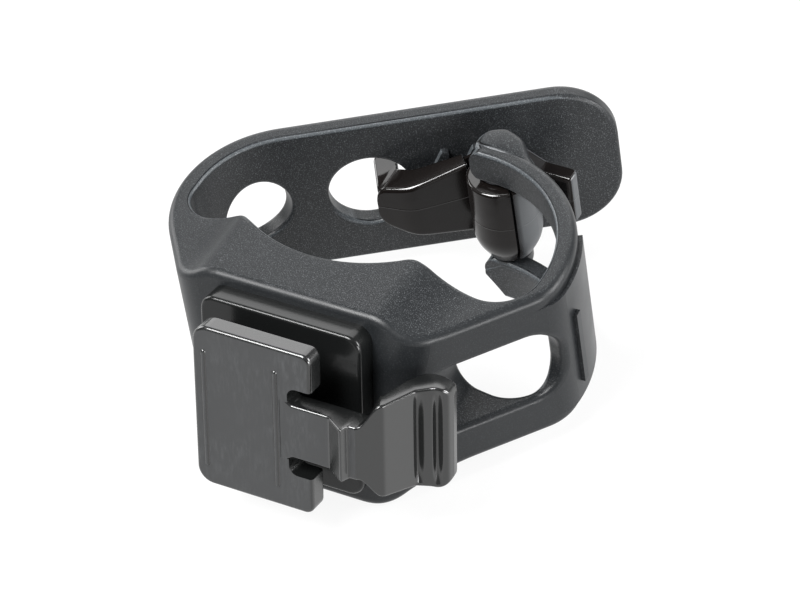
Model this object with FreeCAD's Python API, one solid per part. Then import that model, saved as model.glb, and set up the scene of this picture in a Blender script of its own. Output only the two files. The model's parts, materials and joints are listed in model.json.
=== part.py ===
import FreeCAD, Part
import math
import os

from FreeCAD import Placement, Rotation, Vector

# Tail light mount: a moulded rubber strap that closes round a bicycle seat post, a plastic slide rail on its
# front block for the light, a sprung release latch on the rail and a hook clip on the strap's end bar.
# Millimetres. Z runs up the post's axis, Y runs from the light towards the post, and the origin lies on the
# post's axis at the strap's mid-height.

# Post and strap
post_radius = 17.7
strap_width = 20.0
strap_thickness = 2.4
strap_outer_edge = 1.0
strap_inner_edge = 0.5

# Front block
block_height = 24.6
block_depth = 9.3
crest_half_width = 9.5
crest_run_out = 8.0
crest_share = 0.33
flank_angle = 52.0
front_corner_round = 5.0
cradle_x = -1.1
horn_half_width = 9.5
horn_y = -13.9
horn_round = 2.4

# Left turn and tail
turn_x = -9.1
turn_y = -9.7
turn_radius = 11.0
left_pocket_y = -15.1
left_pocket_round = 3.3
tail_angle = 33.5
tail_length = 38.1
tail_end_round = 7.2
turn_hole_radius = 4.2
turn_hole_angle = 145.0
hook_hole_radius = 4.8
hook_hole_distance = 9.2
hole_edge = 0.5
arm_gap_edge = 0.75
rib_distances = (17.4, 21.0)
rib_width = 1.0
rib_height = 0.8
rib_length = 4.4
rib_z = 2.8
rib_slant = 27.0

# Right arms, web and ring
ring_x = 7.8
ring_y = -9.7
ring_radius = 15.0
ring_thickness = 2.3
right_pocket_y = -15.8
right_pocket_round = 4.6
shoulder_round = 6.0
right_flank_angle = 51.0
arm_gap = 9.4
arm_gap_outer = (-19.5, 1.2)
arm_gap_outer_depth = -2.0
arm_gap_outer_round = 4.4
arm_gap_inner = (-8.6, -1.8)
arm_gap_inner_depth = 8.0
arm_gap_inner_round = 3.2
ring_gap_top = 5.6
ring_gap_foot = -6.5
ring_gap_angle = 34.0
ring_gap_round = 4.0
pad_start = 3.0
pad_stop_angle = 30.0
pad_height = 16.6
pad_step = 0.5
pad_rib_angle = 4.5
pad_rib_width = 0.9
pad_rib_height = 10.2
pad_rib_z = -0.9
pad_sink = 0.6

# End bar that carries the clip
bar_x = 8.3
bar_radius = 2.0
bead_radius = 2.5
bead_set_in = 0.05
bead_round = 0.8
bead_straight = 1.1
bead_tip_radius = 1.3
bead_drop = 2.2
band_end_x = 5.9
band_end_round = 1.7

# Slide rail, drawn on the block's front face, which leans back against the post
lean = 13.0
rail_rise = 1.05
base_width = 20.0
base_height = 20.6
base_thickness = 2.8
base_round = 1.8
slot_gap = 2.8
neck_height = 12.0
neck_right_x = 2.0
plate_left_x = -7.8
plate_right_x = 6.9
plate_height = 20.5
plate_thickness = 2.6
plate_left_round = 2.0
plate_right_round = 1.1
rail_edge = 0.45
notch_top = 5.6
tongue_height = 6.8
face_rib_xs = (-6.4, 2.5)
face_rib_top = 7.0
face_rib_bottom = -7.5
face_rib_width = 0.65
face_rib_height = 0.2
stem_size = 13.0
stem_length = 2.8
flange_size = 17.0
flange_thickness = 1.8
mould_gap = 0.05

# Release latch, drawn on the rail: X to the right, Y inward from the block's front face
latch_x = 4.0
latch_root_radius = 1.25
latch_fit = 0.05
latch_setback = 0.6
latch_edge = 0.3
latch_side_gap = 0.3
catch_foot_x = 9.05
catch_peak = (11.45, -9.9)
catch_back = (11.75, -8.7)
catch_round = 0.35
shelf_x = 12.6
tab_bend = (15.1, -6.8)
tab_bend_round = 1.2
tab_front = (16.5, -3.9)
tab_corner = (20.1, -1.5)
tab_end = (19.7, 1.1)
tab_end_round = 0.7
tab_heel = (16.6, 0.6)
tab_knee = (15.1, -1.0)
tab_inner = (14.2, -4.1)
tab_inner_round = 0.8
tab_throat_x = 13.5
tab_neck_x = 12.0
tab_neck_round = 0.8
tab_bend_half = 5.9
tab_end_half = 6.8
tab_end_corner = 1.6
grip_places = (0.40, 0.78)
grip_round = 0.55
grip_depth = 0.5
grip_bow = 26.0

# Hook clip
clip_fit = 0.05
clip_gap = 0.3
eye_radius = 4.0
eye_rim_round = 0.35
eye_foot_radius = 2.6
eye_taper_z = -3.6
eye_taper_round = 5.0
eye_slit = 0.3
eye_slit_angle = -46.0
clip_thickness = 1.9
clip_slope = 43.0
clip_slope_behind = 3.4
clip_arm = 10.1
clip_bend_round = 2.0
clip_back = 5.4
clip_back_round = 3.0
pull_reach = 6.9
pull_round = 0.8
hook_near = 10.0
hook_width = 2.7
hook_depth = 2.6
hook_past = 1.0
hook_round = 1.0
clip_hook_half = 2.5
clip_bend_half = 3.2
clip_root_half = 4.8
clip_root_reach = 4.3
clip_step_reach = 3.2
clip_pull_half = 3.3
clip_corner_round = 1.6
groove_width = 1.5
groove_start = 1.6
groove_depth = 1.2
pocket_wall = 0.7
pocket_depth = 1.2
pocket_width = 2.2
clip_edge = 0.3

far = 60.0

strap_half = strap_width / 2
block_half = block_height / 2
front_y = -(post_radius + block_depth)
rail_place = Placement(Vector(0, front_y, 0), Rotation(Vector(1, 0, 0), -lean))
rail_place = rail_place.multiply(Placement(Vector(0, 0, rail_rise), Rotation()))
plate_back_y = -(base_thickness + slot_gap)
plate_front_y = plate_back_y - plate_thickness
plate_mid_y = plate_back_y - plate_thickness / 2


def polar(angle, length):
    """Plan vector of a given length at an angle in degrees from +X."""
    return Vector(length * math.cos(math.radians(angle)), length * math.sin(math.radians(angle)), 0)


def meet(start, angle, other, other_angle):
    """Plan point where a line through start and a line through other cross."""
    along = polar(angle, 1)
    across = polar(other_angle, 1)
    gap = other - start
    step = (gap.x * across.y - gap.y * across.x) / (along.x * across.y - along.y * across.x)
    return start + along * step


def rounded(corners):
    """Face inside a closed plan outline of (point, radius) corners, each rounded by its tangent arc."""
    arcs = []
    for index, (here, radius) in enumerate(corners):
        to_last = (corners[index - 1][0] - here).normalize()
        to_next = (corners[(index + 1) % len(corners)][0] - here).normalize()
        half = to_last.getAngle(to_next) / 2
        reach = radius / math.tan(half)
        middle = here + (to_last + to_next).normalize() * (radius / math.sin(half) - radius)
        arcs.append((here + to_last * reach, middle, here + to_next * reach))
    edges = []
    for index, (start, middle, stop) in enumerate(arcs):
        if corners[index][1] > 0:
            edges.append(Part.Arc(start, middle, stop).toShape())
        follow = arcs[(index + 1) % len(arcs)][0]
        if stop.distanceToPoint(follow) > 1e-6:
            edges.append(Part.makeLine(stop, follow))
    return Part.Face(Part.Wire(edges))


def prism(face, low, high):
    """Solid of a plan face between two heights."""
    raised = face.copy()
    raised.translate(Vector(0, 0, low))
    return raised.extrude(Vector(0, 0, high - low))


def box(low, high):
    """Box between two opposite corners."""
    size = Vector(*high) - Vector(*low)
    return Part.makeBox(size.x, size.y, size.z, Vector(*low))


def sector(centre, inner, outer, start, stop, half_height):
    """Part of an upright ring between two radii and two angles."""
    ring = Part.makeCylinder(outer, 2 * half_height, centre - Vector(0, 0, half_height), Vector(0, 0, 1), stop - start)
    ring = ring.cut(Part.makeCylinder(inner, 2 * half_height, centre - Vector(0, 0, half_height)))
    ring.rotate(centre, Vector(0, 0, 1), start)
    return ring


def edges_along(shape, direction, keep=lambda point: True):
    """Straight edges of a shape that run along a direction and whose middle passes the keep test."""
    found = []
    for edge in shape.Edges:
        if isinstance(edge.Curve, Part.Line):
            way = edge.Curve.Direction
            if abs(abs(way.dot(direction)) - 1) < 1e-6 and keep(edge.CenterOfMass):
                found.append(edge)
    return found


up = Vector(0, 0, 1)
tail_way = polar(tail_angle, 1)
tail_out = polar(tail_angle + 90, 1)
turn_centre = Vector(turn_x, turn_y, 0)
tail_start = turn_centre + tail_out * turn_radius
ring_centre = Vector(ring_x, ring_y, 0)
ring_outer = ring_radius + ring_thickness
ring_back_y = ring_y + ring_radius
bar_centre = Vector(bar_x, ring_back_y + bead_radius, 0)
shoulder_reach = shoulder_round * math.tan(math.radians((90 - right_flank_angle) / 2))
shoulder = Vector(ring_x + ring_outer, ring_y - shoulder_reach, 0)


def strap_plan():
    """Strap seen along the post: block, left turn and tail on one side, arms and ring on the other."""
    front_line = Vector(0, front_y - block_half, 0)
    flank_touch = turn_centre + polar(270 - flank_angle, turn_radius + strap_thickness)
    left_corner = meet(flank_touch, 180 - flank_angle, tail_start + tail_out * strap_thickness, tail_angle)
    left_front = meet(flank_touch, 180 - flank_angle, front_line, 0)
    left_x = turn_x - turn_radius
    inner_turn = meet(Vector(left_x, 0, 0), 90, tail_start, tail_angle)
    tail_end = tail_start + tail_way * tail_length
    right_front = meet(shoulder, right_flank_angle, front_line, 0)
    inner_right_x = ring_x + ring_radius
    return rounded([
        (left_front, 0),
        (left_corner, turn_radius + strap_thickness),
        (tail_end + tail_out * strap_thickness, 0),
        (tail_end, 0),
        (inner_turn, turn_radius),
        (Vector(left_x, left_pocket_y, 0), left_pocket_round),
        (Vector(cradle_x - horn_half_width, horn_y, 0), 0),
        (Vector(cradle_x + horn_half_width, horn_y, 0), 0),
        (Vector(inner_right_x, right_pocket_y, 0), right_pocket_round),
        (Vector(inner_right_x, ring_back_y, 0), ring_radius),
        (Vector(band_end_x, ring_back_y, 0), 0),
        (Vector(band_end_x, ring_back_y + ring_thickness, 0), 0),
        (Vector(shoulder.x, ring_back_y + ring_thickness, 0), ring_outer),
        (shoulder, shoulder_round),
        (right_front, 0),
    ])


def block_outline():
    """Height limits of the strap seen from the front: the block's crest runs out in an S-curve each side."""
    drop = block_half - strap_half
    turn = 2 * math.atan2(drop, crest_run_out)
    round_sum = crest_run_out / math.sin(turn)
    crest_round = crest_share * round_sum
    hollow_round = round_sum - crest_round
    out_x = crest_half_width + crest_run_out

    def crest_point(angle, x, z):
        away = crest_half_width + crest_round * math.sin(angle)
        return Vector(x * away, -far, z * (block_half - crest_round * (1 - math.cos(angle))))

    def hollow_point(angle, x, z):
        away = out_x - hollow_round * math.sin(angle)
        return Vector(x * away, -far, z * (strap_half + hollow_round * (1 - math.cos(angle))))

    edges = []
    for z in (1, -1):
        edges.append(Part.makeLine(crest_point(0, -1, z), crest_point(0, 1, z)))
        for x in (1, -1):
            edges.append(Part.Arc(crest_point(0, x, z), crest_point(turn / 2, x, z), crest_point(turn, x, z)).toShape())
            edges.append(Part.Arc(crest_point(turn, x, z), hollow_point(turn / 2, x, z), hollow_point(0, x, z)).toShape())
            edges.append(Part.makeLine(hollow_point(0, x, z), Vector(x * far, -far, z * strap_half)))
    for x in (1, -1):
        edges.append(Part.makeLine(Vector(x * far, -far, strap_half), Vector(x * far, -far, -strap_half)))
    wire = Part.Wire(Part.__sortEdges__(edges))
    return Part.Face(wire).extrude(Vector(0, 2 * far, 0))


def on_wall(solid, origin, angle):
    """Stand a solid drawn flat in XY upright on a wall: X runs along the wall and +Z points to its right side."""
    solid.rotate(Vector(0, 0, 0), Vector(1, 0, 0), 90)
    solid.rotate(Vector(0, 0, 0), up, angle)
    solid.translate(origin)
    return solid


def plate(corners, back, front):
    """Upright plate from (x, z, radius) corners, between two distances in front of the XZ plane."""
    face = rounded([(Vector(x, z, 0), radius) for x, z, radius in corners])
    return on_wall(prism(face, back, front), Vector(0, 0, 0), 0)


def tail_end_trim():
    """What is cut off the tail's square end to leave its rounded corners."""
    start = tail_length - tail_end_round
    stop = tail_length + tail_end_round
    blank = box((start, -strap_width, -far), (stop, strap_width, far))
    end = rounded([
        (Vector(start, -strap_half, 0), 0),
        (Vector(tail_length, -strap_half, 0), tail_end_round),
        (Vector(tail_length, strap_half, 0), tail_end_round),
        (Vector(start, strap_half, 0), 0),
    ])
    trim = blank.cut(prism(end, -far, far))
    reach = box((start, -strap_width, -2 * strap_thickness), (stop, strap_width, strap_thickness))
    return on_wall(trim.common(reach), tail_start, tail_angle)


def tail_holes():
    """Two round holes: one on the left turn, and one for the hook on the tail."""
    turn_way = polar(turn_hole_angle, 1)
    turn_hole = Part.makeCylinder(turn_hole_radius, 2 * turn_radius, turn_centre, turn_way)
    hook_hole = Part.makeCylinder(hook_hole_radius, 3 * strap_thickness,
                                  tail_start + tail_way * hook_hole_distance - tail_out * strap_thickness, tail_out)
    return turn_hole, hook_hole


def arm_opening():
    """Opening between the right arms, wide on the outer face and narrow towards the post."""
    half = arm_gap / 2
    wires = []
    for (start, stop), depth, radius in (
            (arm_gap_outer, arm_gap_outer_depth, arm_gap_outer_round),
            (arm_gap_inner, arm_gap_inner_depth, arm_gap_inner_round)):
        face = rounded([
            (Vector(start, -half, -depth), radius),
            (Vector(stop, -half, -depth), radius),
            (Vector(stop, half, -depth), radius),
            (Vector(start, half, -depth), radius),
        ])
        wires.append(face.OuterWire)
    return on_wall(Part.makeLoft(wires, True, True), shoulder, right_flank_angle)


def ring_opening():
    """Opening between the ring's upper and lower bands, from the web to past the end bar."""
    face = rounded([
        (Vector(0, ring_gap_foot, 0), ring_gap_round),
        (Vector(ring_outer, ring_gap_foot, 0), 0),
        (Vector(ring_outer, ring_gap_top, 0), 0),
        (Vector(0, ring_gap_top, 0), ring_gap_round),
    ])
    return on_wall(prism(face, ring_radius / 3, ring_outer + ring_thickness), ring_centre, ring_gap_angle + 90)


def end_trims():
    """What is left out at the bands' ends, so that each ends like a finger tip seen from the front."""
    trims = []
    for low, high in ((ring_gap_top, strap_half), (-strap_half, ring_gap_foot)):
        finger = plate([
            (band_end_x, low, band_end_round),
            (far, low, 0),
            (far, high, 0),
            (band_end_x, high, band_end_round),
        ], -far, far)
        corner = box((band_end_x - 1, ring_back_y - 1, low - 1),
                     (band_end_x + band_end_round, ring_back_y + ring_thickness + 1, high + 1))
        trims.append(corner.cut(finger))
    return trims


def end_beads():
    """Beads round the end bar: a short drum on the upper band, and a cone with a round tip under the lower band."""
    radius = bead_radius - bead_set_in
    upper = [
        (Vector(0, ring_gap_top, 0), 0),
        (Vector(radius, ring_gap_top, 0), 0),
        (Vector(radius, strap_half, 0), bead_round),
        (Vector(0, strap_half, 0), 0),
    ]
    lower = [
        (Vector(0, ring_gap_foot, 0), 0),
        (Vector(0, -strap_half - bead_drop, 0), 0),
        (Vector(bead_tip_radius, -strap_half - bead_drop, 0), bead_round),
        (Vector(radius, ring_gap_foot - bead_straight, 0), bead_round),
        (Vector(radius, ring_gap_foot, 0), 0),
    ]
    beads = []
    for corners in (upper, lower):
        bead = rounded(corners).revolve(Vector(0, 0, 0), Vector(0, 1, 0), 360)
        bead.rotate(Vector(0, 0, 0), Vector(1, 0, 0), 90)
        bead.translate(bar_centre)
        beads.append(bead)
    return beads


def web_pad():
    """Raised layer on the web that grows out of the flank and ends in a step, with one upright rib."""
    outer = ring_outer + pad_step
    corner = meet(shoulder, right_flank_angle, Vector(ring_x + outer, 0, 0), 90)
    inner = ring_radius + pad_sink
    face = rounded([
        (shoulder - polar(right_flank_angle, pad_start), 0),
        (corner, (ring_y - corner.y) / math.tan(math.radians((90 - right_flank_angle) / 2))),
        (Vector(ring_x + outer, ring_y + outer, 0), outer),
        (Vector(ring_x, ring_y + outer, 0), 0),
        (ring_centre, 0),
        (Vector(ring_x + inner, ring_y, 0), 0),
    ])
    half = pad_height / 2
    pad = prism(face, -half, half).cut(Part.makeCylinder(inner, 2 * far, ring_centre - up * far))
    past = box((-far, 0, -far), (far, far, far))
    past.rotate(Vector(0, 0, 0), up, pad_stop_angle)
    past.translate(ring_centre)
    pad = pad.cut(past)
    half_turn = math.degrees(pad_rib_width / 2 / ring_outer)
    rib = sector(ring_centre, inner, outer + pad_step, pad_rib_angle - half_turn,
                 pad_rib_angle + half_turn, pad_rib_height / 2)
    rib.translate(up * pad_rib_z)
    return pad.fuse(rib).removeSplitter()


def tail_ribs():
    """Two short slanting ribs on the tail's inner face."""
    ribs = []
    half = rib_width / 2
    for distance in rib_distances:
        face = rounded([
            (Vector(-half, -rib_length / 2, 0), half * 0.9),
            (Vector(half, -rib_length / 2, 0), half * 0.9),
            (Vector(half, rib_length / 2, 0), half * 0.9),
            (Vector(-half, rib_length / 2, 0), half * 0.9),
        ])
        rib = prism(face, -strap_thickness / 2, rib_height)
        rib.rotate(Vector(0, 0, 0), up, -rib_slant)
        rib.translate(Vector(distance, rib_z, 0))
        ribs.append(on_wall(rib, tail_start, tail_angle))
    return ribs


def soft_cut(body, tool, radius):
    """Cut an opening and round the edges it leaves."""
    body = body.cut(tool)
    wall = tool.Shells[0]
    rims = []
    for edge in body.Edges:
        middle = Part.Vertex(edge.valueAt((edge.FirstParameter + edge.LastParameter) / 2))
        if wall.distToShape(middle)[0] < 1e-4:
            rims.append(edge)
    return body.makeFillet(radius, rims)


def rail_anchor(gap):
    """Stem and flange of the rail that the block is moulded round, grown by a gap."""
    half_stem = stem_size / 2 + gap
    half_flange = flange_size / 2 + gap
    stem = box((-half_stem, 0, -half_stem), (half_stem, stem_length, half_stem))
    flange = box((-half_flange, stem_length - gap, -half_flange),
                 (half_flange, stem_length + flange_thickness + gap, half_flange))
    return stem.fuse(flange).removeSplitter()


def tail_point(along, out):
    """Plan point at a distance along the tail's straight inner face and a distance out from it."""
    return tail_start + tail_way * along + tail_out * out


def wall_facing(body, edge, point):
    """Direction in which the most upright of the two faces at an edge looks."""
    facings = []
    for face in body.ancestorsOfType(edge, Part.Face):
        u, v = face.Surface.parameter(point)
        facings.append(face.normalAt(u, v))
    return min(facings, key=lambda facing: abs(facing.z))


def rim_edges(body, side):
    """Upper and lower edges of the strap's walls, with the tail's end: side 1 outside the loop, -1 inside it."""
    found = []
    for edge in body.Edges:
        middle = edge.valueAt((edge.FirstParameter + edge.LastParameter) / 2)
        ends = [vertex.Point for vertex in edge.Vertexes]
        level = min(abs(point.z) for point in ends + [middle])
        along = (middle - tail_start).dot(tail_way)
        out = (middle - tail_start).dot(tail_out)
        on_face = min(abs(out), abs(out - strap_thickness)) < 1e-6
        if level > strap_half - 1e-6 or (along > tail_length - tail_end_round and on_face):
            if side * wall_facing(body, edge, middle).dot(Vector(middle.x, middle.y, 0)) > 0:
                found.append(edge)
    return found


def front_corners(body):
    """Slanting edges where the block's leaning front face meets its two flanks."""
    found = []
    for edge in body.Edges:
        if isinstance(edge.Curve, Part.Line):
            ends = [rail_place.inverse().multVec(vertex.Point) for vertex in edge.Vertexes]
            tall = abs(ends[0].z - ends[1].z) > strap_half
            if tall and max(abs(point.y) for point in ends) < 1e-6:
                found.append(edge)
    return found


def build_strap():
    body = prism(strap_plan(), -block_half, block_half).common(block_outline())
    behind = horn_y / 2
    for low, high in ((strap_half, far), (-far, -strap_half)):
        body = body.cut(box((-far, behind, low), (far, far, high)))
    cradle = Part.makeCylinder(post_radius, 2 * far, Vector(cradle_x, 0, -far))
    body = body.cut(cradle.common(box((-far, -far, -far), (far, behind, far))))
    front = box((-far, -far, -far), (far, 0, far))
    front.Placement = rail_place
    body = body.cut(front)
    body = body.cut(tail_end_trim()).removeSplitter()
    body = body.makeFillet(front_corner_round, front_corners(body))
    horns = edges_along(body, up, lambda point: abs(point.y - horn_y) < horn_round and abs(point.x) < post_radius)
    body = body.makeFillet(horn_round, horns)
    body = body.makeFillet(strap_outer_edge, rim_edges(body, 1))
    body = body.makeFillet(strap_inner_edge, rim_edges(body, -1))
    body = body.fuse(web_pad())
    for opening in tail_holes() + (ring_opening(),):
        body = soft_cut(body, opening, hole_edge)
    body = soft_cut(body, arm_opening(), arm_gap_edge)
    for trim in end_trims():
        body = body.cut(trim)
    bar = Part.makeCylinder(bar_radius, ring_gap_top - ring_gap_foot, bar_centre + up * ring_gap_foot)
    for piece in [bar] + end_beads() + tail_ribs():
        body = body.fuse(piece)
    body = body.removeSplitter()
    cavity = rail_anchor(mould_gap)
    cavity.Placement = rail_place
    return body.cut(cavity)


def build_rail():
    half_base = base_width / 2
    half_rise = base_height / 2
    rail = plate([
        (-half_base, -half_rise, base_round),
        (half_base, -half_rise, base_round),
        (half_base, half_rise, base_round),
        (-half_base, half_rise, base_round),
    ], 0, base_thickness)
    rail = rail.makeFillet(rail_edge, [edge for edge in rail.Edges if edge.BoundBox.YMax < -base_thickness + 1e-6])
    half_neck = neck_height / 2
    neck = box((plate_left_x, plate_back_y, -half_neck), (neck_right_x, -base_thickness, half_neck))
    half_plate = plate_height / 2
    front = plate([
        (plate_left_x, -half_plate, plate_left_round),
        (plate_right_x, -half_plate, plate_right_round),
        (plate_right_x, half_plate, plate_right_round),
        (plate_left_x, half_plate, plate_left_round),
    ], -plate_back_y, -plate_front_y)
    front = front.makeFillet(rail_edge, [edge for edge in front.Edges if edge.BoundBox.YLength < 1e-6])
    notch_round = (notch_top - tongue_height / 2) / 2
    front = front.cut(plate([
        (latch_x, -notch_top, notch_round),
        (far, -notch_top, 0),
        (far, notch_top, 0),
        (latch_x, notch_top, notch_round),
    ], 0, far))
    half_seat = tongue_height / 2 + latch_side_gap
    seat = Part.makeCylinder(latch_root_radius + latch_fit, 2 * half_seat,
                             Vector(latch_x, plate_mid_y, -half_seat))
    front = front.cut(seat)
    front = front.cut(box((latch_x - latch_setback, -far, -half_seat), (far, 0, half_seat)))
    rail = rail.fuse(neck).fuse(front).fuse(rail_anchor(0))
    rib_round = (face_rib_width ** 2 / 4 + face_rib_height ** 2) / (2 * face_rib_height)
    sunk_y = plate_front_y - face_rib_height + rib_round
    for x in face_rib_xs:
        foot = Vector(x, sunk_y, face_rib_bottom)
        top = Vector(x, sunk_y, face_rib_top)
        rail = rail.fuse(Part.makeCylinder(rib_round, face_rib_top - face_rib_bottom, foot))
        rail = rail.fuse([Part.makeSphere(rib_round, end) for end in (foot, top)])
    rail = rail.removeSplitter()
    rail.Placement = rail_place
    return rail


def grip_groove(place):
    """Bowed round bar that leaves a lens-shaped upright groove in the tab's front face."""
    start = Vector(tab_front[0], tab_front[1], 0)
    along = Vector(tab_corner[0], tab_corner[1], 0) - start
    out = along.cross(up).normalize()
    middle = start + along * place + out * (grip_round - grip_depth)
    return Part.makeTorus(grip_bow, grip_round, middle + out * grip_bow, up.cross(out))


def soft_halves(face, outline, radius):
    """Upright moulding, alike above and below, from its plan and its front outline, with rounded side edges."""
    half = prism(face, 0, far).common(plate(outline, -far, far)).removeSplitter()
    across = edges_along(half, Vector(0, 1, 0))
    sides = []
    for edge in half.Edges:
        level = edge.BoundBox.XLength + edge.BoundBox.YLength > 1e-6 and edge.BoundBox.ZMin > 1e-6
        if level and not any(edge.isSame(other) for other in across):
            sides.append(edge)
    half = half.makeFillet(radius, sides)
    return half.fuse(half.mirror(Vector(0, 0, 0), up)).removeSplitter()


def build_latch():
    tongue_front = plate_mid_y - latch_root_radius
    tongue_back = plate_mid_y + latch_root_radius
    corners = [
        ((latch_x, tongue_back), 0),
        ((latch_x, tongue_front), 0),
        ((catch_foot_x, tongue_front), 0),
        (catch_peak, catch_round),
        (catch_back, catch_round),
        ((shelf_x, catch_back[1]), catch_round),
        (tab_bend, tab_bend_round),
        (tab_front, 0),
        (tab_corner, tab_end_round),
        (tab_end, tab_end_round),
        (tab_heel, tab_end_round),
        (tab_knee, tab_end_round),
        (tab_inner, 0),
        ((tab_throat_x, tongue_back), tab_inner_round),
    ]
    plan = rounded([(Vector(x, y, 0), radius) for (x, y), radius in corners])
    half = tongue_height / 2
    reach = tab_corner[0] + tab_end_round
    heights = [(0, half, 0), (tab_neck_x, half, tab_neck_round), (tab_bend[0], tab_bend_half, tab_neck_round),
               (reach, tab_end_half, tab_end_corner)]
    outline = [(x, -z, radius) for x, z, radius in heights] + [(x, z, radius) for x, z, radius in reversed(heights)]
    latch = soft_halves(plan, outline, latch_edge)
    root = Part.makeCylinder(latch_root_radius, tongue_height, Vector(latch_x, plate_mid_y, -half))
    latch = latch.fuse(root).removeSplitter()
    for place in grip_places:
        latch = latch.cut(grip_groove(place))
    latch.Placement = rail_place.multiply(latch.Placement)
    return latch


def clip_eye():
    """Barrel round the end bar: straight above, drawn in at its foot, with a rounded top rim."""
    top = ring_gap_top - clip_gap
    foot = ring_gap_foot + clip_gap
    face = rounded([
        (Vector(0, foot, 0), 0),
        (Vector(eye_foot_radius, foot, 0), eye_rim_round),
        (Vector(eye_radius, eye_taper_z, 0), eye_taper_round),
        (Vector(eye_radius, top, 0), eye_rim_round),
        (Vector(0, top, 0), 0),
    ])
    face.rotate(Vector(0, 0, 0), Vector(1, 0, 0), 90)
    face.translate(bar_centre)
    return face.revolve(bar_centre, up, 360)


def build_clip():
    slope_way = polar(clip_slope, 1)
    slope_out = polar(clip_slope + 90, 1)
    slope_foot = bar_centre + slope_out * clip_slope_behind
    bend = slope_foot - slope_way * clip_arm
    inner_slope = slope_foot + slope_out * clip_thickness
    back = bar_centre + Vector(0, clip_back, 0)
    front = back - Vector(0, clip_thickness, 0)
    pull = Vector(pull_reach, 0, 0)
    hook_far = hook_near + hook_width
    past = strap_thickness + hook_past
    hook_front = tail_point(hook_near, -hook_depth)
    tilt = math.degrees(math.atan2(bend.y - hook_front.y, bend.x - hook_front.x))
    hook_back = hook_front + polar(tilt + 90, clip_thickness)
    plan = rounded([
        (tail_point(hook_far, past), hook_round),
        (tail_point(hook_near, past), hook_round),
        (hook_front, hook_round),
        (bend, clip_bend_round),
        (meet(bend, clip_slope, front, 0), 0),
        (front + pull, pull_round / 2),
        (back + pull, pull_round),
        (meet(inner_slope, clip_slope, back, 0), clip_back_round),
        (meet(hook_back, tilt, inner_slope, clip_slope), clip_bend_round / 2),
        (meet(tail_point(hook_far, 0), tail_angle + 90, hook_back, tilt), hook_round / 2),
    ])
    soft = clip_corner_round
    heights = [(-far, clip_hook_half, 0), (hook_front.x, clip_hook_half, soft), (bend.x, clip_bend_half, soft),
               (bar_x - clip_root_reach, clip_root_half, soft), (bar_x, clip_root_half, soft),
               (bar_x + clip_step_reach, clip_pull_half, soft), (far, clip_pull_half, 0)]
    outline = [(x, -z, radius) for x, z, radius in heights] + [(x, z, radius) for x, z, radius in reversed(heights)]
    clip = soft_halves(plan, outline, clip_edge)
    groove = box((-groove_start - groove_width, -clip_thickness, -far), (-groove_start, groove_depth, far))
    groove.rotate(Vector(0, 0, 0), up, clip_slope)
    groove.translate(slope_foot)
    clip = clip.cut(groove)
    half_pocket = clip_pull_half - pocket_wall
    pocket = box((pull_reach - pocket_wall - pocket_width, -clip_thickness, -half_pocket),
                 (pull_reach - pocket_wall, pocket_depth, half_pocket))
    pocket.translate(front)
    clip = clip.cut(pocket).fuse(clip_eye()).removeSplitter()
    clip = clip.cut(Part.makeCylinder(bar_radius + clip_fit, 2 * far, bar_centre - up * far))
    slit = box((0, -eye_slit / 2, -far), (2 * eye_radius, eye_slit / 2, far))
    slit.rotate(Vector(0, 0, 0), up, eye_slit_angle)
    slit.translate(bar_centre)
    return clip.cut(slit)


def main():
    os.makedirs("parts", exist_ok=True)
    nodes = {"strap": build_strap(), "slide_rail": build_rail(), "release_latch": build_latch(),
             "hook_clip": build_clip()}
    for name, solid in nodes.items():
        solid.exportStep("parts/" + name + ".step")


main()
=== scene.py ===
"""Tail light mount: the looks of the strap, slide rail, release latch and hook clip, in metres."""
import json
import math

import bpy
import numpy as np
from mathutils import Matrix, Vector


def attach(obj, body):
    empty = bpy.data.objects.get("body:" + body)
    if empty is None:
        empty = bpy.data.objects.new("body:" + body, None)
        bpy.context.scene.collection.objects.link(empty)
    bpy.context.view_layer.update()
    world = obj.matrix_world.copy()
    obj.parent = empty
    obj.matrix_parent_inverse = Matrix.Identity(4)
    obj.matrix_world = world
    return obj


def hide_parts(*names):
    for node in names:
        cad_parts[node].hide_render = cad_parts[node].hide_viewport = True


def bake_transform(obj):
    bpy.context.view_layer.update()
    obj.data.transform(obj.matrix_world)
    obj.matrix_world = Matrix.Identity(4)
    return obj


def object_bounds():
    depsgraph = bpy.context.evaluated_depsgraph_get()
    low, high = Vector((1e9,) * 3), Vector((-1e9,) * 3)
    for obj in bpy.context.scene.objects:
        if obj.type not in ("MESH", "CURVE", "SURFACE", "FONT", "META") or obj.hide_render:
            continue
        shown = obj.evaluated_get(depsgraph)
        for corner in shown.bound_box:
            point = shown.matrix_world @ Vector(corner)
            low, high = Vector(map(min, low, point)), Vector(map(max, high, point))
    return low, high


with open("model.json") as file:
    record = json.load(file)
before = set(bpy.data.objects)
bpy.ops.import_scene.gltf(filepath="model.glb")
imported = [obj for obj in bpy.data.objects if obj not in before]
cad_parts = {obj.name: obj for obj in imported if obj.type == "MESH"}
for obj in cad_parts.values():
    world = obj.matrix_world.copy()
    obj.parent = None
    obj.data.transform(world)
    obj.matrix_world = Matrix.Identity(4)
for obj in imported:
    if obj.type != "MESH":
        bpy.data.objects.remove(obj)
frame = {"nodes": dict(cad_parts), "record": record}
cad_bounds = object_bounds()

MM = 0.001

# Directions: up, to the right, and all that is level
UP = (0, 0, 1)
RIGHT = (1, 0, 0)
LEVEL = (1, 1, 0)

# Camera: where it stands round the post's axis, how far it leans, and the point it looks at
CAMERA_AZIMUTH = 34.97
CAMERA_ELEVATION = 43.68
CAMERA_ROLL = 9.7
CAMERA_DISTANCE = 479.4 * MM
CAMERA_AIM = (8.68 * MM, -16.52 * MM, 7.58 * MM)
CAMERA_LENS = 198.0
CAMERA_SENSOR = 36.0

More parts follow.
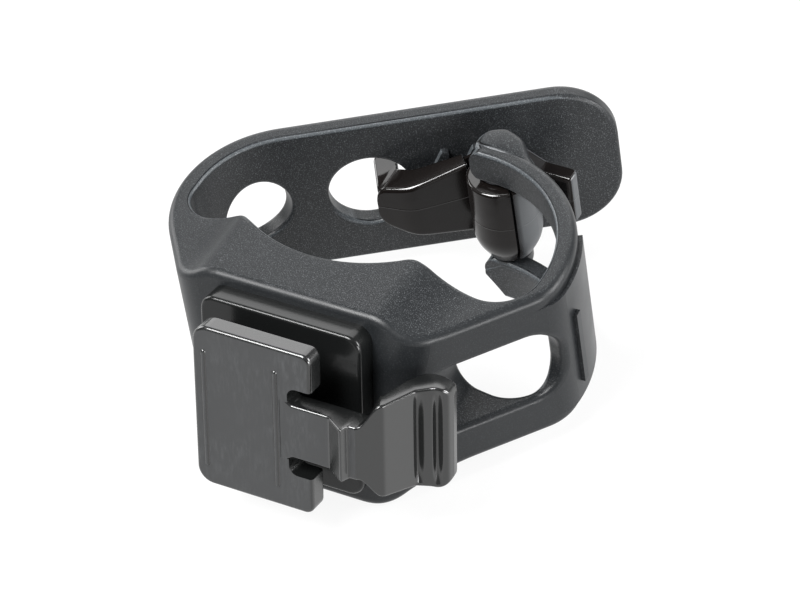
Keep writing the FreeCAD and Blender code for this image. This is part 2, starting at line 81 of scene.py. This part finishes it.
# Light table and surround, then the soft boxes by place, width and power
TABLE_HALF = 1.5
TABLE_ROUGHNESS = 0.9
TABLE_GLOW = 0.90
SURROUND_STRENGTH = 0.25
SOFT_BOXES = {
    "top box": ((-0.14, -0.26, 0.52), 0.30, 7.0),
    "left box": ((-0.60, 0.10, 0.22), 0.35, 2.0),
    "right box": ((0.56, -0.20, 0.05), 0.30, 3.5),
    "far right box": ((0.50, 0.25, 0.20), 0.30, 3.2),
    "back box": ((-0.25, 0.75, 0.35), 0.80, 4.0),
}

# Rail: its lean against the post, its front plate by distance along its facing, and the slot behind it
LEAN = math.radians(13.0)
RAIL_FACING = (0.0, -math.cos(LEAN), math.sin(LEAN))
RAIL_UPWARD = (0.0, math.sin(LEAN), math.cos(LEAN))
PLATE_BACK = 31.9 * MM
PLATE_FRONT = 34.5 * MM
BASE_HALF = 10.4 * MM
SLOT_DEPTH = 1.5 * MM
SLOT_EDGE = 0.5 * MM

# Rubber's patterns. A mould's real grit is finer, and is drawn this coarse so that it shows
SPECK_SIZE = 0.11 * MM
GRIT_SIZE = 0.16 * MM
GRIT_DEPTH = 0.04 * MM
CLOUD_SIZE = 7 * MM

# Nylon's patterns: rub marks, twenty times as long as wide, and the patches that are rubbed most
RUB_WIDTH = 0.35 * MM
RUB_STRETCH = (1.0, 1.0, 0.05)
RUB_DEPTH = 0.03 * MM
PATCH_SIZE = 4.5 * MM

# Acetal's patterns: flow waves, the mould's line by half widths of its crest and foot, and the side painted
# lit grey as painted light
FLOW_SIZE = 3.5 * MM
FLOW_DEPTH = 0.25 * MM
MOULD_LINE = (0.02 * MM, 0.09 * MM)
MOULD_LINE_DEPTH = 0.04 * MM
LIT_SIDE = (0.90, 0.43, 0)

# Shaped pieces, in mm: the step along a path, the widths of bell curve that soften it, and a section's cuts
STEP = 0.08
BELL_WIDTHS = 3
CORNER_POINTS = 6
FLAT_CUTS = (-1, -0.96, -0.8, -0.6, -0.4, -0.2, 0, 0.2, 0.4, 0.6, 0.8, 0.96, 1)

# Release latch: corners of its front and back walls from root to tab end, along the plate and ahead of it
LATCH_FRONT = [
    (-1.0, 1.31), (5.05, 1.28), (7.40, 2.92), (7.75, 1.80), (8.60, 1.80),
    (11.1, -0.10), (12.9, -3.80), (14.3, -4.70), (15.5, -5.15), (16.05, -5.60), (16.2, -6.50)]
LATCH_BACK = [
    (-1.0, -1.25), (5.05, -1.25), (7.30, -1.25), (7.80, -1.25), (8.60, -1.25),
    (10.0, -2.00), (11.0, -5.30), (12.3, -7.20), (14.2, -7.75), (15.6, -7.95), (16.1, -7.20)]
TONGUE_HALF = 3.4
ROOT_FILLET = 0.6
TAB_HALF = 5.9
TAB_END_HALF = 6.7
FLARE = (8.7, 10.9)
TAB_LENGTH = 16.2
TAB_CORNER = 1.6
LATCH_EDGE = 0.3
LATCH_SOFTEN = 0.16
FLUTES = (4.75, 6.75)
FLUTE_WIDTH = 1.4
FLUTE_DEPTH = 0.62
FLUTE_RUNOUT = 4

# Clip's arm, as places on the plan from hook to barrel, with its lower and upper edges there
ARM_FRONT = [(-5.50, 2.60), (-1.31, 3.21), (3.78, 7.96)]
ARM_BACK = [(-5.40, 6.75), (-2.70, 6.55), (2.25, 9.58)]
ARM_LOW = [-2.7, -4.1, -5.5]
ARM_HIGH = [2.65, 3.35, 4.85]
ARM_SOFTEN = 0.9
ARM_END_ROUND = 1.3
ARM_EDGE = 0.5

# Knob on the upper band's end: places on the plan along its outer and inner walls, and its heights there
KNOB_BACK = [(14.8, 6.0), (13.0, 7.0), (10.9, 9.5), (8.4, 10.4), (6.4, 9.5), (6.0, 8.0)]
KNOB_FRONT = [(14.3, 4.9), (12.2, 5.6), (10.0, 6.05), (8.1, 6.2), (6.8, 6.2), (6.2, 6.3)]
KNOB_HIGH = [9.8, 9.9, 10.15, 10.25, 10.1, 9.85]
KNOB_LOW = 5.75
KNOB_SOFTEN = 0.5
KNOB_EDGE = 0.9

# Foot of the lower band, on the ring's walls: angles round the ring, and heights at the angles it changes at
RING_CENTRE = (7.8, -9.7)
RING_INNER = 14.96
RING_OUTER = 17.34
FOOT_ANGLES = (40.0, 97.2)
FOOT_TOP = (-6.9, -8.3)
FOOT_LOW = (-9.9, -12.2, -9.3)
FOOT_FULL_ANGLE = 78.0
FOOT_END_ANGLE = 89.0
FOOT_EDGE = 0.45


def linear(code):
    """Linear colour with alpha 1 from an sRGB hex code: each channel through the sRGB curve."""
    channels = [int(code[i:i + 2], 16) / 255 for i in (1, 3, 5)]
    return [c / 12.92 if c <= 0.04045 else ((c + 0.055) / 1.055) ** 2.4 for c in channels] + [1]


def node(tree, kind, inputs=(), **settings):
    """Adds a node with its settings, fills its sockets in order or by name, and gives its outputs."""
    made = tree.nodes.new("ShaderNode" + kind)
    for name, value in settings.items():
        setattr(made, name, value)
    pairs = inputs.items() if isinstance(inputs, dict) else enumerate(inputs)
    for socket, value in pairs:
        if isinstance(value, bpy.types.NodeSocket):
            tree.links.new(value, made.inputs[socket])
        else:
            made.inputs[socket].default_value = value
    return made.outputs


def new_material(name):
    """Empty node material, with the Object place and surface direction that its patterns read."""
    material = bpy.data.materials.new(name)
    material.use_nodes = True
    tree = material.node_tree
    tree.nodes.clear()
    coords = node(tree, "TexCoord")
    return material, tree, coords["Object"], coords["Normal"]


def moulded_rubber():
    """Silicone rubber from an eroded mould: dark, with pale grit that sparkles.

    Faces that look away from the post come out smoother. Inner rims are painted paler and grittier where
    they slant, a painted highlight for the light they catch, and black where they lie level and the mould
    parts, a line of painted shade.
    """
    material, tree, place, facing = new_material("moulded silicone rubber")
    flat = node(tree, "VectorMath", (place, LEVEL), operation="MULTIPLY")["Vector"]
    away = node(tree, "VectorMath", (flat,), operation="NORMALIZE")["Vector"]
    outward = node(tree, "VectorMath", (away, facing), operation="DOT_PRODUCT")["Value"]
    rising = node(tree, "VectorMath", (facing, UP), operation="DOT_PRODUCT")["Value"]
    upward = node(tree, "Math", (rising,), operation="ABSOLUTE")["Value"]

    cloud = node(tree, "TexNoise", {"Vector": place, "Scale": 1 / CLOUD_SIZE})["Fac"]
    grit = node(tree, "TexNoise", {"Vector": place, "Scale": 1 / GRIT_SIZE})["Fac"]
    sparkle = node(tree, "TexNoise", {"Vector": place, "Scale": 1 / SPECK_SIZE, "Detail": 1.0})["Fac"]
    grainy = node(tree, "MapRange", (outward, 0.15, 0.55, 1.0, 0.25))["Result"]
    grains = node(tree, "MapRange", (sparkle, 0.56, 0.72))["Result"]
    speck = node(tree, "Math", (grains, grainy), operation="MULTIPLY")["Value"]

    inward = node(tree, "MapRange", (outward, -0.30, -0.12, 1.0, 0.0))["Result"]
    # Painted shade: inner faces that lie level, where the mould parts, are painted black and reflect less, a
    # line of painted shade
    lying = node(tree, "MapRange", (upward, 0.84, 0.92))["Result"]
    parting_shade = node(tree, "Math", (inward, lying), operation="MULTIPLY")["Value"]
    # Painted highlight: inner rims that slant are painted a paler grey, with denser pale grit, for the light
    # they catch
    slanting = node(tree, "MapRange", (upward, 0.12, 0.45))["Result"]
    rim_highlight = node(tree, "Math", (inward, slanting), operation="MULTIPLY")["Value"]
    rim_highlight_grit = node(tree, "MapRange", (rim_highlight, 0.0, 1.0, 0.32, 0.6))["Result"]
    # Pale grit specks are the rubber's own grain, made denser on the painted rim highlight
    pale = node(tree, "Math", (speck, rim_highlight_grit), operation="MULTIPLY")["Value"]

    # The cloud and pale grit are the rubber's own tones; the paler rim is a painted highlight, the black
    # line painted shade
    colour = linear("#17191b")
    for share, other in (
            (cloud, "#1d1f21"),
            (rim_highlight, "#404447"),
            (pale, "#85888b"),
            (parting_shade, "#060607")):
        colours = {"Factor": share, "A": colour, "B": linear(other)}
        colour = node(tree, "Mix", colours, data_type="RGBA")["Result"]
    roughened = node(tree, "Math", (grainy, 0.45), operation="MULTIPLY")["Value"]
    relief = {"Height": grit, "Strength": roughened, "Distance": GRIT_DEPTH}
    surface = node(tree, "BsdfPrincipled", {
        "Base Color": colour,
        "Roughness": node(tree, "MapRange", (cloud, 0.3, 0.7, 0.33, 0.41))["Result"],
        "Specular IOR Level": node(tree, "MapRange", (parting_shade, 0.0, 1.0, 0.43, 0.1))["Result"],
        "IOR": 1.43,
        "Normal": node(tree, "Bump", relief)["Normal"],
    })
    node(tree, "OutputMaterial", {"Surface": surface["BSDF"]})
    return material


def rubbed_nylon():
    """Nylon from a polished mould: black and glossy, with painted shade in the slot behind the front plate.

    The front plate's face is rubbed grey by use, with fine upright marks that are densest in patches.
    """
    material, tree, place, facing = new_material("rubbed nylon")
    ahead = node(tree, "VectorMath", (facing, RAIL_FACING), operation="DOT_PRODUCT")["Value"]
    depth = node(tree, "VectorMath", (place, RAIL_FACING), operation="DOT_PRODUCT")["Value"]
    sideways = node(tree, "VectorMath", (place, RIGHT), operation="DOT_PRODUCT")["Value"]
    frontal = node(tree, "MapRange", (ahead, 0.90, 0.98))["Result"]
    on_plate = node(tree, "MapRange", (depth, PLATE_BACK, PLATE_FRONT))["Result"]
    rubbed = node(tree, "Math", (frontal, on_plate), operation="MULTIPLY")["Value"]

    stretched = node(tree, "VectorMath", (place, RUB_STRETCH), operation="MULTIPLY")["Vector"]
    streaks = node(tree, "TexNoise", {
        "Vector": stretched, "Scale": 1 / RUB_WIDTH, "Detail": 3.0, "Roughness": 0.6})["Fac"]
    patches = node(tree, "TexNoise", {"Vector": place, "Scale": 1 / PATCH_SIZE, "Detail": 3.0})["Fac"]
    marks = node(tree, "MapRange", (streaks, 0.45, 0.75))["Result"]
    marked = node(tree, "MapRange", (patches, 0.4, 0.65))["Result"]
    scuffs = node(tree, "Math", (marks, marked), operation="MULTIPLY")["Value"]
    wear = node(tree, "Math", (scuffs, rubbed), operation="MULTIPLY")["Value"]
    paled = node(tree, "Math", (wear, 0.28), operation="MULTIPLY")["Value"]

    # Painted shade: in the slot behind the front plate, where the plate shades it, reflections are cut to
    # 0.4 of their strength
    slot_ends = (PLATE_BACK - SLOT_DEPTH, PLATE_BACK - SLOT_EDGE)
    behind = node(tree, "MapRange", (depth, *slot_ends, 1.0, 0.0))["Result"]
    within = node(tree, "MapRange", (sideways, BASE_HALF, BASE_HALF + SLOT_EDGE, 1.0, 0.0))["Result"]
    in_slot = node(tree, "Math", (behind, within), operation="MULTIPLY")["Value"]
    frontal_shine = node(tree, "MapRange", (ahead, 0.45, 0.75, 1.0, 0.7))["Result"]
    rubbed_shine = node(tree, "MapRange", (rubbed, 0.0, 1.0, 1.0, 0.7))["Result"]
    slot_painted_shade = node(tree, "MapRange", (in_slot, 0.0, 1.0, 1.0, 0.4))["Result"]
    dulled = node(tree, "Math", (frontal_shine, rubbed_shine), operation="MULTIPLY")["Value"]
    shine = node(tree, "Math", (dulled, slot_painted_shade), operation="MULTIPLY")["Value"]

    colour = linear("#121313")
    for share, other in ((rubbed, "#2a2b2c"), (paled, "#56585a")):
        colours = {"Factor": share, "A": colour, "B": linear(other)}
        colour = node(tree, "Mix", colours, data_type="RGBA")["Result"]
    matt_patches = node(tree, "MapRange", (patches, 0.2, 0.8, 0.6, 1.0))["Result"]
    matt = node(tree, "Math", (rubbed, matt_patches), operation="MULTIPLY")["Value"]
    scratched = node(tree, "Math", (rubbed, 0.05), operation="MULTIPLY")["Value"]
    relief = {"Height": streaks, "Strength": scratched, "Distance": RUB_DEPTH}
    surface = node(tree, "BsdfPrincipled", {
        "Base Color": colour,
        "Roughness": node(tree, "MapRange", (matt, 0.0, 1.0, 0.20, 0.40))["Result"],
        "Specular IOR Level": shine,
        "IOR": 1.53,
        "Normal": node(tree, "Bump", relief)["Normal"],
    })
    node(tree, "OutputMaterial", {"Surface": surface["BSDF"]})
    return material


def glossy_acetal():
    """Acetal from a polished mould: black, with slow flow waves in its reflections.

    The mould's line runs round it at mid-height. Faces that look up reflect most, a painted highlight, and
    the rest reflect less, painted shade. The side on its right is painted a lit grey and dulled, as painted
    light.
    """
    material, tree, place, facing = new_material("polished acetal")
    rising = node(tree, "VectorMath", (facing, UP), operation="DOT_PRODUCT")["Value"]
    upward = node(tree, "MapRange", (rising, 0.15, 0.55))["Result"]
    # Painted light: faces turned to the right are painted a lit grey and made rougher, for the light from
    # that side
    turned = node(tree, "VectorMath", (facing, LIT_SIDE), operation="DOT_PRODUCT")["Value"]
    lit_side = node(tree, "MapRange", (turned, 0.36, 0.50))["Result"]

    flow = node(tree, "TexNoise", {"Vector": place, "Scale": 1 / FLOW_SIZE, "Detail": 1.0})["Fac"]
    waves = node(tree, "Bump", {"Height": flow, "Strength": 0.25, "Distance": FLOW_DEPTH})["Normal"]
    height = node(tree, "VectorMath", (place, UP), operation="DOT_PRODUCT")["Value"]
    from_middle = node(tree, "Math", (height,), operation="ABSOLUTE")["Value"]
    line = node(tree, "MapRange", (from_middle, *MOULD_LINE, 1.0, 0.0))["Result"]

    colours = {"Factor": lit_side, "A": linear("#120f0e"), "B": linear("#4b4d4f")}
    upper_polish = node(tree, "MapRange", (upward, 0.0, 1.0, 1.0, 0.5))["Result"]
    lit_side_matt = node(tree, "MapRange", (lit_side, 0.0, 1.0, 1.0, 2.0))["Result"]
    polish = node(tree, "Math", (upper_polish, lit_side_matt), operation="MULTIPLY")["Value"]
    flow_gloss = node(tree, "MapRange", (flow, 0.3, 0.7, 0.16, 0.24))["Result"]
    relief = {"Height": line, "Strength": 0.6, "Distance": MOULD_LINE_DEPTH, "Normal": waves}
    surface = node(tree, "BsdfPrincipled", {
        "Base Color": node(tree, "Mix", colours, data_type="RGBA")["Result"],
        "Roughness": node(tree, "Math", (flow_gloss, polish), operation="MULTIPLY")["Value"],
        # Painted highlight and shade: faces that look up reflect over three times as strongly as the rest
        "Specular IOR Level": node(tree, "MapRange", (upward, 0.0, 1.0, 0.25, 0.8))["Result"],
        "IOR": 1.48,
        "Normal": node(tree, "Bump", relief)["Normal"],
    })
    node(tree, "OutputMaterial", {"Surface": surface["BSDF"]})
    return material


def lit_acrylic():
    """White acrylic sheet lit from below: an even glow that takes faint, soft shadows."""
    material, tree = new_material("white acrylic lit from below")[:2]
    surface = node(tree, "BsdfPrincipled", {
        "Base Color": linear("#505050"),
        "Roughness": TABLE_ROUGHNESS,
        "Emission Color": linear("#ffffff"),
        "Emission Strength": TABLE_GLOW,
    })
    node(tree, "OutputMaterial", {"Surface": surface["BSDF"]})
    return material


def dress(name, material):
    """Gives a CAD node its material."""
    mesh = frame["nodes"][name].data
    mesh.materials.clear()
    mesh.materials.append(material)


def ease(value):
    """Smooth step from 0 to 1: three times the square, less twice the cube."""
    held = np.clip(value, 0, 1)
    return held * held * (3 - 2 * held)


def along_path(corners, soften, *others):
    """Steps along a path of straight runs, with the path and other lists of corner values taken there.

    Each value is interpolated between corners, then averaged with its neighbours by a bell curve.
    """
    runs = np.concatenate([[0], np.cumsum(np.hypot(*np.diff(np.array(corners), axis=0).T))])
    steps = np.arange(0, runs[-1], STEP)
    reach = int(BELL_WIDTHS * soften / STEP)
    weights = np.exp(-0.5 * (np.arange(-reach, reach + 1) * STEP / soften) ** 2)
    weights /= weights.sum()
    taken = []
    for values in (corners,) + others:
        columns = []
        for column in np.array(values, float).reshape(len(corners), -1).T:
            held = np.pad(np.interp(steps, runs, column), reach, mode="reflect", reflect_type="odd")
            columns.append(np.convolve(held, weights, "valid"))
        taken.append(np.squeeze(np.stack(columns, axis=1)))
    return steps, taken


def end_round(distance, radius):
    """How far a circle of a given radius draws an edge in, at a distance from the end it rounds."""
    left = radius - np.clip(distance, 0, radius)
    return radius - np.sqrt(radius ** 2 - left ** 2)


def sections(front, back, low, high, edge, sink):
    """Closed loops from a back wall to a front wall, from a lower to an upper edge, with rounded corners.

    Going round, a point is a corner's centre plus the edge radius at that turn. The flat sides are cut at
    several heights, and the front one sinks by a given depth, which runs out with a power of the way to an
    edge.
    """
    flats = np.array(FLAT_CUTS)
    quarter = np.pi / 2
    arc = np.linspace(0, quarter, CORNER_POINTS)
    bent = arc[1:]
    last = arc[:-1]
    share = np.concatenate([flats, 0 * bent + 1, 0 * arc + 1, flats[::-1], 0 * bent - 1, 0 * last - 1])
    turn = np.concatenate([0 * flats, bent, arc + quarter, 0 * flats + 2 * quarter, bent + 2 * quarter,
                           last + 3 * quarter])
    ahead = np.concatenate([0 * flats + 1, 0 * bent + 1, 0 * arc, 0 * flats, 0 * bent, 0 * last + 1])
    across = front - back
    depth = np.hypot(*across.T)[:, None]
    reach = ahead * (depth - 2 * edge) + edge + edge * np.cos(turn)
    reach -= sink[:, None] * (1 - share ** FLUTE_RUNOUT) * ahead * np.clip(np.cos(turn), 0, 1)
    plan = back[:, None, :] + (across / depth)[:, None, :] * reach[..., None]
    middle = ((high + low) / 2)[:, None]
    rise = middle + share * ((high - low)[:, None] / 2 - edge) + edge * np.sin(turn)
    return np.concatenate([plan, rise[..., None]], axis=2)


def tube(name, points, material):
    """Closed tube through rings of points, with a flat cap on each end, shaded smooth.

    Each face joins two neighbours on a ring to the same two on the next ring.
    """
    rings, count = points.shape[:2]
    ring = np.arange(rings - 1)[:, None] * count
    spot = np.arange(count)
    after = (spot + 1) % count
    corners = [ring + spot, ring + after, ring + count + after, ring + count + spot]
    sides = np.stack(corners, axis=-1).reshape(-1, len(corners))
    caps = [spot[::-1].tolist(), ((rings - 1) * count + spot).tolist()]
    mesh = bpy.data.meshes.new(name)
    mesh.from_pydata(points.reshape(-1, 3).tolist(), [], sides.tolist() + caps)
    mesh.shade_smooth()
    mesh.materials.append(material)
    made = bpy.data.objects.new(name, mesh)
    bpy.context.scene.collection.objects.link(made)
    made.modifiers.new("weighted normals", "WEIGHTED_NORMAL")
    return made


def latch_moulding(material):
    """Tongue, catch and fluted thumb tab as one moulding, laid out from the latch's hinge at its root.

    The half height widens at the root, steps up smoothly at the neck, grows evenly to the tab's end and
    rounds off there by a circle. A flute is a raised cosine along the tab's front. The rings run from the
    tab's end to the root, so that the faces point outwards.
    """
    steps, (front, back) = along_path(LATCH_FRONT, LATCH_SOFTEN, LATCH_BACK)
    along = front[:, 0]
    half = TONGUE_HALF + (TAB_HALF - TONGUE_HALF) * ease((along - FLARE[0]) / (FLARE[1] - FLARE[0]))
    half += ROOT_FILLET * (1 - ease((along + ROOT_FILLET) / (2 * ROOT_FILLET)))
    half += (TAB_END_HALF - TAB_HALF) * np.clip((along - FLARE[1]) / (TAB_LENGTH - FLARE[1]), 0, 1)
    half -= end_round(TAB_LENGTH - along, TAB_CORNER)
    past_bend = steps - steps[np.argmax(along > FLARE[1])]
    flutes = np.zeros_like(steps)
    for place in FLUTES:
        away = np.clip((past_bend - place) / FLUTE_WIDTH, -0.5, 0.5)
        flutes += FLUTE_DEPTH * np.cos(np.pi * away) ** 2
    joints = {joint["name"]: joint for joint in frame["record"]["behaviour"]["joints"]}
    hinge = np.array(joints["latch_press"]["pos_m"])
    directions = np.array([RIGHT, RAIL_FACING, RAIL_UPWARD])
    points = hinge + MM * sections(front, back, -half, half, LATCH_EDGE, flutes) @ directions
    latch = tube("latch_moulding", points[::-1], material)
    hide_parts("release_latch")
    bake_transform(latch)


def clip_arm(material):
    """Outer shell of the clip's arm, from the hook round a soft bend to the barrel, deepest at its foot.

    Its edges go evenly from corner to corner, softened like its plan, and a circle rounds its hook end. The
    rings run from the barrel to the hook, so that the faces point outwards.
    """
    steps, (front, back, low, high) = along_path(ARM_FRONT, ARM_SOFTEN, ARM_BACK, ARM_LOW, ARM_HIGH)
    drawn_in = end_round(steps, ARM_END_ROUND)
    points = MM * sections(front, back, low + drawn_in, high - drawn_in, ARM_EDGE, 0 * steps)
    arm = tube("clip_arm", points[::-1], material)
    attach(arm, "hook_clip")


def band_knob(material):
    """Knob on the upper band's end: a round-edged ridge that swells over the clip's bar.

    Its walls and its height go evenly from place to place, softened by a bell curve, and run out along the
    ring.
    """
    steps, (back, front, high) = along_path(KNOB_BACK, KNOB_SOFTEN, KNOB_FRONT, KNOB_HIGH)
    points = MM * sections(front, back, 0 * steps + KNOB_LOW, high, KNOB_EDGE, 0 * steps)
    knob = tube("band_knob", points, material)
    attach(knob, "mount_body")


def band_foot(material):
    """Foot of the lower band: two arcs round the ring's centre, cut by a slanting end.

    Its lower edge deepens by a smooth step, then rises evenly to the end, where the upper edge drops evenly.
    """
    angle = np.arange(FOOT_ANGLES[0], FOOT_ANGLES[1], math.degrees(STEP / RING_INNER))
    way = np.stack([np.cos(np.radians(angle)), np.sin(np.radians(angle))], axis=1)
    deepening = ease((angle - FOOT_ANGLES[0]) / (FOOT_FULL_ANGLE - FOOT_ANGLES[0]))
    ending = np.clip((angle - FOOT_END_ANGLE) / (FOOT_ANGLES[1] - FOOT_END_ANGLE), 0, 1)
    low = FOOT_LOW[0] + (FOOT_LOW[1] - FOOT_LOW[0]) * deepening
    low += (FOOT_LOW[2] - FOOT_LOW[1]) * ending
    high = FOOT_TOP[0] + (FOOT_TOP[1] - FOOT_TOP[0]) * ending
    inner = RING_CENTRE + RING_INNER * way
    outer = RING_CENTRE + RING_OUTER * way
    points = MM * sections(inner, outer, low, high, FOOT_EDGE, 0 * low)
    foot = tube("band_foot", points, material)
    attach(foot, "mount_body")


def light_table():
    """Square sheet under the object's lowest point."""
    floor_z = cad_bounds[0][2]
    corners = [(x * TABLE_HALF, y * TABLE_HALF, floor_z) for x, y in ((-1, -1), (1, -1), (1, 1), (-1, 1))]
    mesh = bpy.data.meshes.new("floor")
    mesh.from_pydata(corners, [], [(0, 1, 2, 3)])
    mesh.materials.append(lit_acrylic())
    floor = bpy.data.objects.new("floor", mesh)
    bpy.context.scene.collection.objects.link(floor)


def lights():
    """Even pale surround, and square soft boxes that all face the object."""
    world = bpy.data.worlds.new("studio")
    bpy.context.scene.world = world
    world.use_nodes = True
    surround = world.node_tree.nodes["Background"].inputs
    surround["Color"].default_value = linear("#ffffff")
    surround["Strength"].default_value = SURROUND_STRENGTH
    for name, (place, size, power) in SOFT_BOXES.items():
        lamp = bpy.data.lights.new(name, "AREA")
        lamp.size = size
        lamp.energy = power
        box = bpy.data.objects.new(name, lamp)
        bpy.context.scene.collection.objects.link(box)
        spot = Vector(place)
        facing = spot.to_track_quat("Z", "Y").to_matrix().to_4x4()
        box.matrix_world = Matrix.Translation(spot) @ facing
    bpy.context.scene.view_settings.view_transform = "Standard"


def camera():
    """Long-lens camera on a sphere round its aim point, rolled so that the rail stands upright.

    It is turned round the post's axis, tilted, rolled, and then drawn back by its distance.
    """
    turn = (Matrix.Rotation(math.radians(CAMERA_AZIMUTH), 4, "Z")
            @ Matrix.Rotation(math.radians(90 - CAMERA_ELEVATION), 4, "X")
            @ Matrix.Rotation(math.radians(-CAMERA_ROLL), 4, "Z"))
    data = bpy.data.cameras.new("camera")
    data.lens = CAMERA_LENS
    data.sensor_width = CAMERA_SENSOR
    shot = bpy.data.objects.new("camera", data)
    bpy.context.scene.collection.objects.link(shot)
    shot.matrix_world = Matrix.Translation(CAMERA_AIM) @ turn @ Matrix.Translation((0, 0, CAMERA_DISTANCE))
    bpy.context.scene.camera = shot


rubber = moulded_rubber()
nylon = rubbed_nylon()
acetal = glossy_acetal()
dress("strap", rubber)
dress("slide_rail", nylon)
dress("hook_clip", acetal)
latch_moulding(nylon)
clip_arm(acetal)
band_knob(rubber)
band_foot(rubber)
light_table()
lights()
camera()
